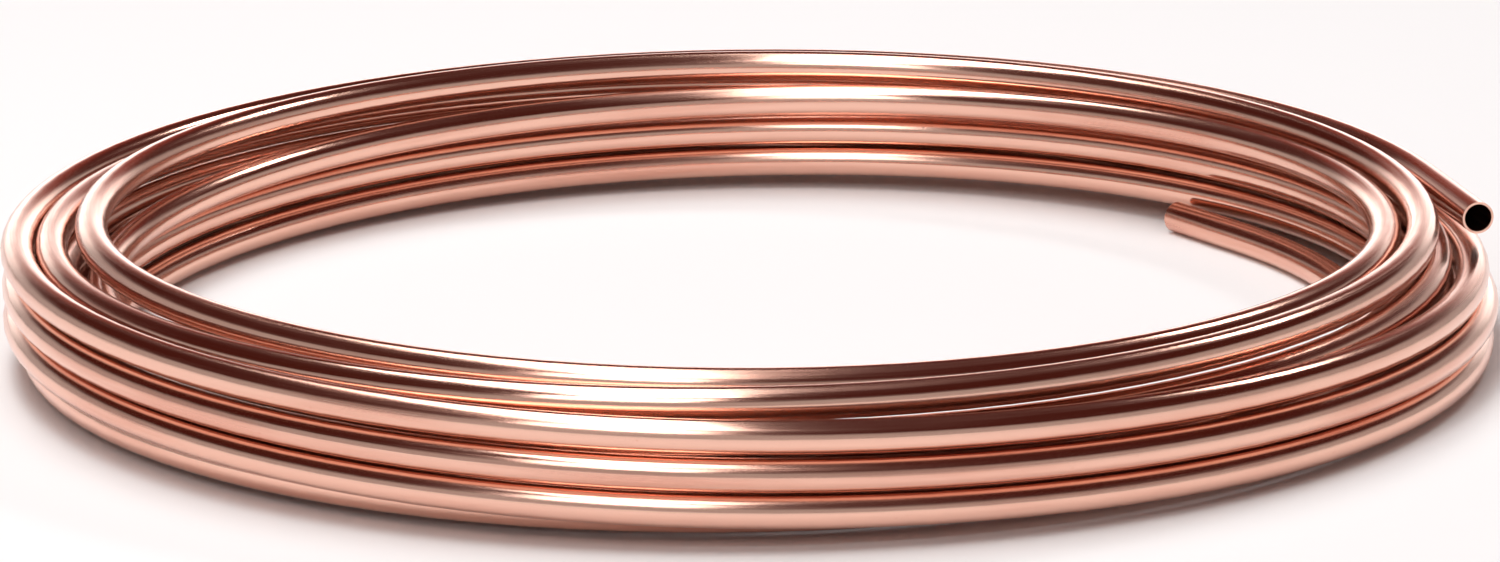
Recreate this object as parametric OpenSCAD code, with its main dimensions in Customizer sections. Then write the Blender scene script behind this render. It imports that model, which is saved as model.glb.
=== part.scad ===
// Coil of soft copper tube, lying flat: one continuous length wound in three nested columns of turns.
// Units are millimetres. The coil's middle is over the origin, and it rests on z = 0.
// It is drawn from its outer end at the top, down the outer column, up through the hidden middle
// column and down the inner column to the inner end on the floor.

/* [Tube] */
// outside diameter of the tube
tube_od = 10; // [8:0.5:14]
// thickness of the tube's wall
tube_wall = 0.7; // [0.5:0.05:1.2]

/* [Coil] */
// radius of the inner column of turns, to the middle of the tube
inner_radius = 201; // [180:1:300]
// clear space left between one turn and the next
turn_gap = 0.4; // [0.4:0.1:2]
// how far the coil is turned about its own axis
lead_angle = 12.4; // [0:0.1:60]

/* [Ends] */
// straight length of tube at the outer end
outer_run = 52; // [30:1:80]
// straight length of tube at the inner end
inner_run = 36; // [20:1:60]

/* [Hidden] */
// sides of a round section and of a whole turn
round_fn = 48;
turn_fn = 144;

// distance from one turn's middle to the next
pitch = tube_od + turn_gap;

// The joints between half turns, from the outer end to the inner end, right and left of the coil by turns.
// Each is [column, layer, bow] in pitches: how far out of the inner column, how far above the bottom
// layer, and how much wider than a plain arc the half turn that leads to it swings.
winding = [
    [1.50, 3.15, 0],
    // down the outer column
    [2.30, 3.20, 0.15],
    [1.85, 2.00, 0.15],
    [2.30, 2.15, 0],
    [2.15, 1.00, 0.10],
    [2.30, 1.15, 0.05],
    [2.00, 0.00, 0.15],
    // under the outer column and up the middle one
    [1.80, 0.25, 0.05],
    [1.00, 0.30, -0.20],
    [1.30, 1.20, 0],
    [1.00, 1.35, 0],
    [1.05, 2.20, 0.05],
    [0.80, 2.35, 0],
    [1.30, 3.20, 0],
    // across the top and down the inner column
    [0.35, 3.35, 0.05],
    [0.10, 3.70, 0],
    [-0.70, 3.00, -0.20],
    [-0.15, 1.90, -0.10],
    [0.00, 1.75, 0],
    [0.30, 1.00, -0.10],
    [0.05, 0.70, 0],
    [0.05, 0.00, 0],
    [-1.15, 0.00, 0],
];
last = len(winding) - 1;

// the last bend turns by the angle of a 44, 117, 125 triangle, whose cosine and sine are whole decimals
last_cos = 0.936;
last_sin = 0.352;

// lengths are kept to a thousandth and cosines to a millionth, so that joined ends meet exactly
function snap(length) = round(1e3 * length) / 1e3;
function snap_cosine(c) = round(1e6 * c) / 1e6;

function radius_at(i) = inner_radius + winding[i][0] * pitch;
function height_at(i) = tube_od / 2 + winding[i][1] * pitch;
// the half turn to joint i: its radius as a plain arc, its slope for the rise that is asked of it,
// and how far out its middle swings
function across(i) = radius_at(i - 1) + radius_at(i);
function arc_radius(i, rise) = snap(norm([across(i), rise]) / 2);
function slope(i, rise) = sign(rise) * acos(snap_cosine(across(i) / (2 * arc_radius(i, rise))));
function swing(i, rise) = arc_radius(i, rise) + snap(winding[i][2] * pitch);

module tube_section() {
    difference() {
        circle(d = tube_od, $fn = round_fn);
        circle(d = tube_od - 2 * tube_wall, $fn = round_fn);
    }
}

// straight tube along +Y from the origin
module straight(length) {
    rotate([-90, 0, 0]) linear_extrude(length) tube_section();
}

// bend from the origin, which leaves along +Y and curls towards -X
module bend(radius, angle) {
    translate([-radius, 0, 0])
        rotate_extrude(angle = angle, $fn = turn_fn) translate([radius, 0]) tube_section();
}

// the frame at the far end of a quarter bend
module after_quarter(radius) {
    translate([-radius, radius, 0]) rotate([0, 0, 90]) children();
}

// half turn from the origin, with straight pieces where its swing isn't its radius
module half_turn(arc_radius, swing) {
    radius = min(arc_radius, swing);
    lead = swing - radius;
    flat = 2 * (arc_radius - radius);
    if (lead > 0) straight(lead);
    translate([0, lead, 0]) {
        if (flat > 0) {
            bend(radius, 90);
            after_quarter(radius) {
                straight(flat);
                translate([0, flat, 0]) bend(radius, 90);
            }
        } else {
            bend(radius, 180);
        }
    }
    if (lead > 0) translate([-2 * arc_radius, 0, 0]) straight(lead);
}

// the half turn to joint i and everything after it, in a frame whose +Y runs along the tube and +X
// points outwards. height is the real one of the joint before, so that snapped slopes don't add up.
module wound_to(i, height) {
    if (i <= last) {
        rise = height_at(i) - height;
        arc = arc_radius(i, rise);
        tilt = slope(i, rise);
        rotate([0, tilt, 0]) {
            half_turn(arc, swing(i, rise));
            translate([-2 * arc, 0, 0])
                rotate([0, -tilt, 0]) rotate([0, 0, 180]) wound_to(i + 1, height + 2 * arc * sin(tilt));
        }
    } else {
        inner_end(snap(radius_at(last)));
    }
}

// the last bend, cut off square, and the straight inner end
module inner_end(radius) {
    last_angle = atan2(last_sin, last_cos);
    difference() {
        bend(radius, 90);
        translate([-radius, 0, 0]) rotate([0, 0, last_angle])
            translate([0, 0, -tube_od]) cube([2 * radius, 2 * radius, 2 * tube_od]);
    }
    translate([-radius, 0, 0]) rotate([0, 0, last_angle])
        translate([radius, 0, 0]) straight(inner_run);
}

module copper_tube() {
    color([0.72, 0.43, 0.33]) rotate([0, 0, lead_angle]) translate([radius_at(0), 0, height_at(0)]) {
        translate([0, -outer_run, 0]) straight(outer_run);
        wound_to(1, height_at(0));
    }
}

copper_tube();
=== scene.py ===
# %% [markdown]
# # A coil of bright copper tube
# Soft copper tube comes off the drawing bench as one long length and is wound into a flat coil: down the
# outside, up through the middle and down again on the inside, so that one end leaves at the top and the
# other lies on the floor inside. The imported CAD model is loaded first, because it fixes the size, the place
# and the box that the finished coil has to stay in.

# %% Load the fixed frame
import math

import bpy
import numpy as np
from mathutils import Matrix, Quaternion, Vector


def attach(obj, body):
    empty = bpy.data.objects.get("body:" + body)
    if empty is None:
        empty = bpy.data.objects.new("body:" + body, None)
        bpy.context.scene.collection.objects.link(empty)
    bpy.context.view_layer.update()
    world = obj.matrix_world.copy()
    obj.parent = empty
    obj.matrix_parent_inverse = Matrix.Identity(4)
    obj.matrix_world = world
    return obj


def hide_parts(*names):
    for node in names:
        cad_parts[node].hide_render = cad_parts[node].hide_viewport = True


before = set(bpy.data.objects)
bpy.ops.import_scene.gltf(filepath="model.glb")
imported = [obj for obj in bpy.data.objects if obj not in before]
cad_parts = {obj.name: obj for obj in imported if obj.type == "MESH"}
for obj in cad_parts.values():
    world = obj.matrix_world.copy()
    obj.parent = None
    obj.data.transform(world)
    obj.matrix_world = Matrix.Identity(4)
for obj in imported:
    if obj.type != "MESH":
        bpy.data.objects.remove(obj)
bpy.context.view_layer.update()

# %% [markdown]
# ## Sizes of the tube
# Everything is in metres. The tube is 10 mm across with a 0.7 mm wall, and neighbouring turns lie a hair
# more than a diameter apart. A column is counted outwards from the inner wall of the coil, and a layer is
# counted upwards from the floor, both in steps of one pitch.

# %% Name the driving sizes
TUBE_RADIUS = 0.005
TUBE_WALL = 0.0007
PITCH = 0.0104
INNER_RADIUS = 0.201
LEAD_ANGLE = math.radians(12.4)
OUTER_RUN = 0.052
INNER_RUN = 0.036
INNER_BEND = math.atan2(0.352, 0.936)
QUARTER = math.pi / 2
# The smooth line bulges a little past the arcs of the CAD model, so the coil is drawn this much tighter.
TIGHTER = 0.0001
print("tube", 2000 * TUBE_RADIUS, "mm across, wall", 1000 * TUBE_WALL, "mm")

# %% [markdown]
# ## The way the tube is wound
# A hand-wound coil is never a perfect helix: a turn lies level for a while, climbs over its neighbour and
# settles again. So the CAD model gives the route half a turn at a time, as the column and layer that the
# tube has reached at the right or left of the coil. The same list is repeated here, and the stops half way,
# at the back and front, are worked out from it: between their neighbours, and a little wider or narrower
# where that half turn bows.

# %% List the stops of the winding
WINDING = [
    # column, layer, bow of the half turn that leads here
    (1.50, 3.15, 0),
    # down the outer column
    (2.30, 3.20, 0.15),
    (1.85, 2.00, 0.15),
    (2.30, 2.15, 0),
    (2.15, 1.00, 0.10),
    (2.30, 1.15, 0.05),
    (2.00, 0.00, 0.15),
    # under the outer column and up the middle one
    (1.80, 0.25, 0.05),
    (1.00, 0.30, -0.20),
    (1.30, 1.20, 0),
    (1.00, 1.35, 0),
    (1.05, 2.20, 0.05),
    (0.80, 2.35, 0),
    (1.30, 3.20, 0),
    # across the top and down the inner column
    (0.35, 3.35, 0.05),
    (0.10, 3.70, 0),
    (-0.70, 3.00, -0.20),
    (-0.15, 1.90, -0.10),
    (0.00, 1.75, 0),
    (0.30, 1.00, -0.10),
    (0.05, 0.70, 0),
    (0.05, 0.00, 0),
    (-1.15, 0.00, 0),
]


def every_quarter(winding):
    """The column and layer at every quarter turn, from those at every half turn."""
    stops = [winding[0][:2]]
    for (column, layer, _), (next_column, next_layer, bow) in zip(winding, winding[1:]):
        stops.append(((column + next_column) / 2 + bow, (layer + next_layer) / 2))
        stops.append((next_column, next_layer))
    return stops


stops = every_quarter(WINDING)
radii = [INNER_RADIUS - TIGHTER + PITCH * column for column, layer in stops]
heights = [TUBE_RADIUS + PITCH * layer for column, layer in stops]
print(len(stops), "stops,", (len(stops) - 1) / 4, "turns")

# %% [markdown]
# ## A smooth line through the stops
# Between two stops the radius and the height are each blended by a smooth cubic curve. It passes through
# every stop in the direction of its neighbours, so no kink shows where one quarter meets the next, and it
# never swings past a stop, so the lowest turn stays on the floor. At both ends of the tube the last bit is
# straight, as a coiling machine leaves it.

# %% Work out the route of the tube's middle
STEPS_A_QUARTER = 24


def slope_at(values, k):
    """How steeply the curve passes stop k. It is level where the stops turn back and at both ends."""
    if k == 0 or k == len(values) - 1:
        return 0
    before = values[k] - values[k - 1]
    after = values[k + 1] - values[k]
    return 2 * before * after / (before + after) if before * after > 0 else 0


def blend(values, k, t):
    """The value a share t of the way from stop k to the next, and never outside the two."""
    a, b = values[k], values[k + 1]
    leaving = slope_at(values, k)
    arriving = slope_at(values, k + 1)
    rise = b - a
    return a + t * (leaving + t * (3 * rise - 2 * leaving - arriving + t * (leaving + arriving - 2 * rise)))


def on_circle(radius, angle, height):
    """A point of the coil. The angle is counted from where the outer end leaves it."""
    return Vector((radius * math.cos(angle + LEAD_ANGLE), radius * math.sin(angle + LEAD_ANGLE), height))


def tube_route():
    """The middle of the tube from its outer end to its inner end."""
    start = on_circle(radii[0], 0, heights[0])
    away = Vector((math.sin(LEAD_ANGLE), -math.cos(LEAD_ANGLE), 0))
    points = [start + away * OUTER_RUN * share for share in (1.0, 0.97, 0.8, 0.6, 0.4, 0.2)]
    for k in range(len(stops) - 1):
        for step in range(STEPS_A_QUARTER):
            t = step / STEPS_A_QUARTER
            points.append(on_circle(blend(radii, k, t), (k + t) * QUARTER, blend(heights, k, t)))
    for step in range(7):
        points.append(on_circle(radii[-1], step / 6 * INNER_BEND, heights[-1]))
    turned = INNER_BEND + LEAD_ANGLE
    ahead = Vector((-math.sin(turned), math.cos(turned), 0))
    points += [points[-1] + ahead * INNER_RUN * share for share in (0.25, 0.5, 0.75, 0.97, 1.0)]
    return points


route = tube_route()
steps = [0.0] + [(b - a).length for a, b in zip(route, route[1:])]
lengths = list(np.cumsum(steps))
print("the tube is", round(lengths[-1], 2), "m long in", len(route), "steps")

# %% [markdown]
# ## The tube itself
# The tube could be spun a half turn at a time, but then every half turn would be a plain arc. Drawing the
# route as a curve and giving it a round bevel sweeps the same circle along the whole length, which is also
# how the real tube keeps its section. The curve is turned into a mesh, and Solidify gives it the thin wall,
# whose closed rims are the two cut ends.

# %% Sweep the tube along its route
SIDES = 32


def deselect_all():
    for other in bpy.context.selected_objects:
        other.select_set(False)


def sweep_tube(points):
    """A pipe along the points, open at both ends, whose rings follow each other in order."""
    curve = bpy.data.curves.new("copper_coil", "CURVE")
    curve.dimensions = "3D"
    curve.twist_mode = "Z_UP"
    curve.bevel_depth = TUBE_RADIUS - TIGHTER / 5
    curve.bevel_resolution = SIDES // 2 - 2
    curve.use_fill_caps = False
    line = curve.splines.new("POLY")
    line.points.add(len(points) - 1)
    line.points.foreach_set("co", [c for p in points for c in (*p, 1.0)])
    tube = bpy.data.objects.new("copper_coil", curve)
    bpy.context.collection.objects.link(tube)
    deselect_all()
    tube.select_set(True)
    bpy.context.view_layer.objects.active = tube
    bpy.ops.object.convert(target="MESH")
    return bpy.context.view_layer.objects.active


coil = sweep_tube(route)
print("swept wall:", len(coil.data.vertices), "points,", len(coil.data.vertices) / len(route), "a ring")

# %% [markdown]
# ## Where each point lies on the tube
# The draw lines of the finish have to run along the tube, round every bend. So each point keeps its place
# on the straight tube before it was wound: how far along it is, and where it is on the round section.
# Written as one vector with the section as a circle, the pattern has no seam.

# %% Store the place on the tube and round off the wall
def mark_place(tube):
    """Gives every point its distance along the tube and its place on the section, all in metres."""
    count = len(tube.data.vertices)
    ring = np.arange(count) // SIDES
    side = np.arange(count) % SIDES * (2 * math.pi / SIDES)
    along = np.array(lengths)[ring]
    place = np.stack([along, TUBE_RADIUS * np.cos(side), TUBE_RADIUS * np.sin(side)], axis=1)
    attribute = tube.data.attributes.new("place_on_tube", "FLOAT_VECTOR", "POINT")
    attribute.data.foreach_set("vector", place.astype(np.float32).ravel())


def give_wall(tube):
    """Faces outwards, the wall's thickness inwards, and smooth everywhere but at the rims."""
    bpy.ops.object.mode_set(mode="EDIT")
    bpy.ops.mesh.select_all(action="SELECT")
    bpy.ops.mesh.normals_make_consistent(inside=False)
    bpy.ops.object.mode_set(mode="OBJECT")
    wall = tube.modifiers.new("wall", "SOLIDIFY")
    wall.thickness = TUBE_WALL
    wall.offset = -1
    wall.use_rim = True
    bpy.ops.object.modifier_apply(modifier=wall.name)
    bpy.ops.object.shade_smooth_by_angle(angle=math.radians(40))


mark_place(coil)
give_wall(coil)
print("tube with its wall:", sum(len(f.vertices) - 2 for f in coil.data.polygons), "triangles")

# %% [markdown]
# ## Draw lines and tarnish
# Drawn copper is bright but never a mirror: the die leaves fine lines along the tube, and handling leaves
# faint scuffs and darker, redder patches. Both are patterns that change over the surface, so they are made
# in shader node groups, and the metal itself stays one Principled shader.

# %% A helper for building node groups
def new_group(name, inputs, outputs):
    """An empty shader group. inputs and outputs are (name, kind, default)."""
    group = bpy.data.node_groups.new(name, "ShaderNodeTree")
    for direction, sockets in (("INPUT", inputs), ("OUTPUT", outputs)):
        for label, kind, default in sockets:
            socket = group.interface.new_socket(name=label, in_out=direction, socket_type=kind)
            if default is not None:
                socket.default_value = default
    return group, group.nodes.new("NodeGroupInput"), group.nodes.new("NodeGroupOutput")


def stretched_noise(group, source, stretch, scale, detail, roughness=0.6):
    """Noise read after the place is scaled by stretch, so that it runs along the tube."""
    scaled = group.nodes.new("ShaderNodeVectorMath")
    scaled.operation = "MULTIPLY"
    scaled.inputs[1].default_value = stretch
    noise = group.nodes.new("ShaderNodeTexNoise")
    noise.inputs["Scale"].default_value = scale
    noise.inputs["Detail"].default_value = detail
    noise.inputs["Roughness"].default_value = roughness
    group.links.new(source, scaled.inputs[0])
    group.links.new(scaled.outputs[0], noise.inputs["Vector"])
    return noise.outputs["Fac"]


def remap(group, value, low, high, to_low=0.0, to_high=1.0):
    """A smooth step from low to high, drawn out to the two new ends."""
    node = group.nodes.new("ShaderNodeMapRange")
    node.interpolation_type = "SMOOTHSTEP"
    for label, number in (("From Min", low), ("From Max", high), ("To Min", to_low), ("To Max", to_high)):
        node.inputs[label].default_value = number
    group.links.new(value, node.inputs["Value"])
    return node.outputs["Result"]


def math_node(group, operation, first, second):
    """One sum of two values, either of which may be a plain number."""
    node = group.nodes.new("ShaderNodeMath")
    node.operation = operation
    for socket, value in zip(node.inputs, (first, second)):
        if isinstance(value, (int, float)):
            socket.default_value = value
        else:
            group.links.new(value, socket)
    return node.outputs[0]


print("helpers ready")

# %% Build the draw line and tarnish groups
# How many features of each pattern fit in a metre: along the tube, then twice across it.
FINE_LINES = (6, 2600, 2600)
BROAD_LINES = (2.5, 420, 420)
PATCHES = (9, 130, 130)
SPECKS = (420, 900, 900)


def draw_line_group():
    """Fine lines along the tube: a height for the bump, and a mask of how scratched the place is."""
    group, given, result = new_group(
        "draw_lines",
        [("Place", "NodeSocketVector", None)],
        [("Height", "NodeSocketFloat", None), ("Streak", "NodeSocketFloat", None)],
    )
    place = given.outputs["Place"]
    fine = stretched_noise(group, place, FINE_LINES, 1.0, 3.0)
    broad = stretched_noise(group, place, BROAD_LINES, 1.0, 2.0)
    fine_share = math_node(group, "MULTIPLY", fine, 0.4)
    broad_share = math_node(group, "MULTIPLY", broad, 0.6)
    height = math_node(group, "ADD", fine_share, broad_share)
    group.links.new(height, result.inputs["Height"])
    group.links.new(remap(group, height, 0.38, 0.66), result.inputs["Streak"])
    return group


def tarnish_group():
    """Where the bright metal has dulled: soft long patches and small specks from handling."""
    group, given, result = new_group(
        "tarnish",
        [("Place", "NodeSocketVector", None)],
        [("Patch", "NodeSocketFloat", None), ("Speck", "NodeSocketFloat", None)],
    )
    place = given.outputs["Place"]
    patch = stretched_noise(group, place, PATCHES, 1.0, 3.0)
    speck = stretched_noise(group, place, SPECKS, 1.0, 2.0)
    group.links.new(remap(group, patch, 0.45, 0.72), result.inputs["Patch"])
    group.links.new(remap(group, speck, 0.70, 0.78), result.inputs["Speck"])
    return group


draw_lines = draw_line_group()
tarnish = tarnish_group()
print("groups:", draw_lines.name, tarnish.name)

# %% [markdown]
# ## Bright copper
# Copper reflects red and orange light more than blue, so as a metal its base colour tints every reflection.
# The draw lines make the gloss longer across the tube than along it, which the small bump gives, and the
# dulled patches are a shade redder and rougher.

# %% Make the copper
COPPER = (0.88, 0.53, 0.415, 1)
COPPER_RED = (0.62, 0.20, 0.13, 1)


def mix_colour(tree, factor, first, second):
    node = tree.nodes.new("ShaderNodeMix")
    node.data_type = "RGBA"
    tree.links.new(factor, node.inputs["Factor"])
    for socket, value in ((node.inputs[6], first), (node.inputs[7], second)):
        if isinstance(value, tuple):
            socket.default_value = value
        else:
            tree.links.new(value, socket)
    return node.outputs[2]


def place_group(tree, group, place):
    node = tree.nodes.new("ShaderNodeGroup")
    node.node_tree = group
    tree.links.new(place, node.inputs["Place"])
    return node


def bright_copper():
    material = bpy.data.materials.new("bright_copper")
    material.use_nodes = True
    tree = material.node_tree
    metal = tree.nodes["Principled BSDF"]
    metal.inputs["Metallic"].default_value = 1.0
    place = tree.nodes.new("ShaderNodeAttribute")
    place.attribute_name = "place_on_tube"
    lines = place_group(tree, draw_lines, place.outputs["Vector"])
    dull = place_group(tree, tarnish, place.outputs["Vector"])
    redder = math_node(tree, "MULTIPLY", dull.outputs["Patch"], 0.35)
    redder = math_node(tree, "ADD", redder, math_node(tree, "MULTIPLY", dull.outputs["Speck"], 0.25))
    tree.links.new(mix_colour(tree, redder, COPPER, COPPER_RED), metal.inputs["Base Color"])
    rough = math_node(tree, "MULTIPLY", lines.outputs["Streak"], 0.09)
    rough = math_node(tree, "ADD", rough, math_node(tree, "MULTIPLY", dull.outputs["Patch"], 0.08))
    tree.links.new(math_node(tree, "ADD", rough, 0.14), metal.inputs["Roughness"])
    bump = tree.nodes.new("ShaderNodeBump")
    bump.inputs["Strength"].default_value = 0.35
    bump.inputs["Distance"].default_value = 0.0001
    tree.links.new(lines.outputs["Height"], bump.inputs["Height"])
    tree.links.new(bump.outputs["Normal"], metal.inputs["Normal"])
    return material


coil.data.materials.clear()
coil.data.materials.append(bright_copper())
print("material:", coil.data.materials[0].name)

# %% Tie the tube to the frame
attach(coil, "root")
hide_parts("copper_tube")
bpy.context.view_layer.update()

# %% [markdown]
# ## The room that the metal mirrors
# Bright metal shows its surroundings more than its own colour. A lit tube has a pale lower half, which is
# the floor, a brown upper half, which is the unlit ceiling, and a white band where it mirrors a soft box.
# So the room has a pale floor and low pale walls, a dark warm ceiling and one long soft box hung over the
# coil, a little to the left. Two small ones light the front left and the back right.

# %% Lay the floor
FLOOR_SIZE = 16


def make_floor():
    deselect_all()
    bpy.ops.mesh.primitive_plane_add(size=FLOOR_SIZE, location=(0, 0, 0))
    floor = bpy.context.object
    floor.name = "floor"
    paint = bpy.data.materials.new("pale_floor")
    paint.use_nodes = True
    shader = paint.node_tree.nodes["Principled BSDF"]
    shader.inputs["Base Color"].default_value = (0.92, 0.92, 0.92, 1)
    shader.inputs["Roughness"].default_value = 0.9
    shader.inputs["Specular IOR Level"].default_value = 0.1
    floor.data.materials.append(paint)
    return floor


make_floor()
print("floor", FLOOR_SIZE, "m across")

# %% Paint the room
WALL_LIGHT = (0.45, 0.45, 0.45, 1)
CEILING_BROWN = (0.062, 0.012, 0.008, 1)
BACK_WALL_GAIN = 4.5


def paint_room():
    """Pale low walls, brightest at the back, and a dark warm ceiling that comes down lower at the back."""
    world = bpy.data.worlds.new("studio")
    world.use_nodes = True
    tree = world.node_tree
    direction = tree.nodes.new("ShaderNodeTexCoord").outputs["Generated"]
    split = tree.nodes.new("ShaderNodeSeparateXYZ")
    tree.links.new(direction, split.inputs[0])
    edge = math_node(tree, "ADD", split.outputs["Z"], math_node(tree, "MULTIPLY", split.outputs["Y"], 0.11))
    ramp = tree.nodes.new("ShaderNodeValToRGB")
    ramp.color_ramp.interpolation = "EASE"
    ramp.color_ramp.elements[0].position = 0.29
    ramp.color_ramp.elements[0].color = WALL_LIGHT
    ramp.color_ramp.elements[1].position = 0.42
    ramp.color_ramp.elements[1].color = CEILING_BROWN
    tree.links.new(edge, ramp.inputs["Fac"])
    back = tree.nodes["Background"]
    tree.links.new(ramp.outputs["Color"], back.inputs["Color"])
    gain = remap(tree, split.outputs["Y"], 0.80, 0.97, 1.0, BACK_WALL_GAIN)
    tree.links.new(gain, back.inputs["Strength"])
    bpy.context.scene.world = world


paint_room()
print("room painted")

# %% Hang the soft lights
def soft_light(name, place, width, depth, power, mirrored=True):
    """A soft box that faces the coil, its depth along Y. One that isn't mirrored lights the floor only."""
    lamp = bpy.data.lights.new(name, "AREA")
    lamp.shape = "RECTANGLE"
    lamp.size = width
    lamp.size_y = depth
    lamp.energy = power
    box = bpy.data.objects.new(name, lamp)
    box.location = place
    box.rotation_euler = (-Vector(place)).to_track_quat("-Z", "X").to_euler()
    box.visible_glossy = mirrored
    bpy.context.collection.objects.link(box)
    return box


soft_light("soft_box", (-0.46, 0.0, 2.2), 0.84, 3.4, 44)
soft_light("front_box", (-0.85, -2.25, 1.80), 1.10, 1.20, 16)
soft_light("corner_box", (1.25, 1.35, 1.80), 0.35, 0.55, 8)
soft_light("floor_fill", (0.0, -0.5, 3.2), 3.2, 3.2, 26, mirrored=False)
print("lights hung")

# %% [markdown]
# ## The camera
# A long lens from about two metres, 15 degrees above the coil, keeps the turns nearly parallel. The plain
# view transform is used, because a filmic one would wash the red out of the copper.

# %% Set up the camera
CAMERA_PLACE = Vector((-0.0044, -2.14, 0.574))
CAMERA_LENS = 172.4
CAMERA_TILT = math.radians(-14.52)
CAMERA_TURN = math.radians(0.095)
CAMERA_ROLL = math.radians(-0.75)


def add_camera():
    """Looks along +Y, tilted down, with a slight roll about its own line of sight."""
    lens = bpy.data.cameras.new("camera")
    lens.sensor_width = 36
    lens.lens = CAMERA_LENS
    lens.clip_end = 50
    camera = bpy.data.objects.new("camera", lens)
    camera.location = CAMERA_PLACE
    ahead = Vector((
        math.sin(CAMERA_TURN) * math.cos(CAMERA_TILT),
        math.cos(CAMERA_TURN) * math.cos(CAMERA_TILT),
        math.sin(CAMERA_TILT),
    ))
    level = ahead.to_track_quat("-Z", "Y")
    camera.rotation_euler = (level @ Quaternion((0, 0, 1), CAMERA_ROLL)).to_euler()
    bpy.context.collection.objects.link(camera)
    bpy.context.scene.camera = camera
    return camera


add_camera()
bpy.context.scene.view_settings.view_transform = "Standard"
print("camera", CAMERA_LENS, "mm")
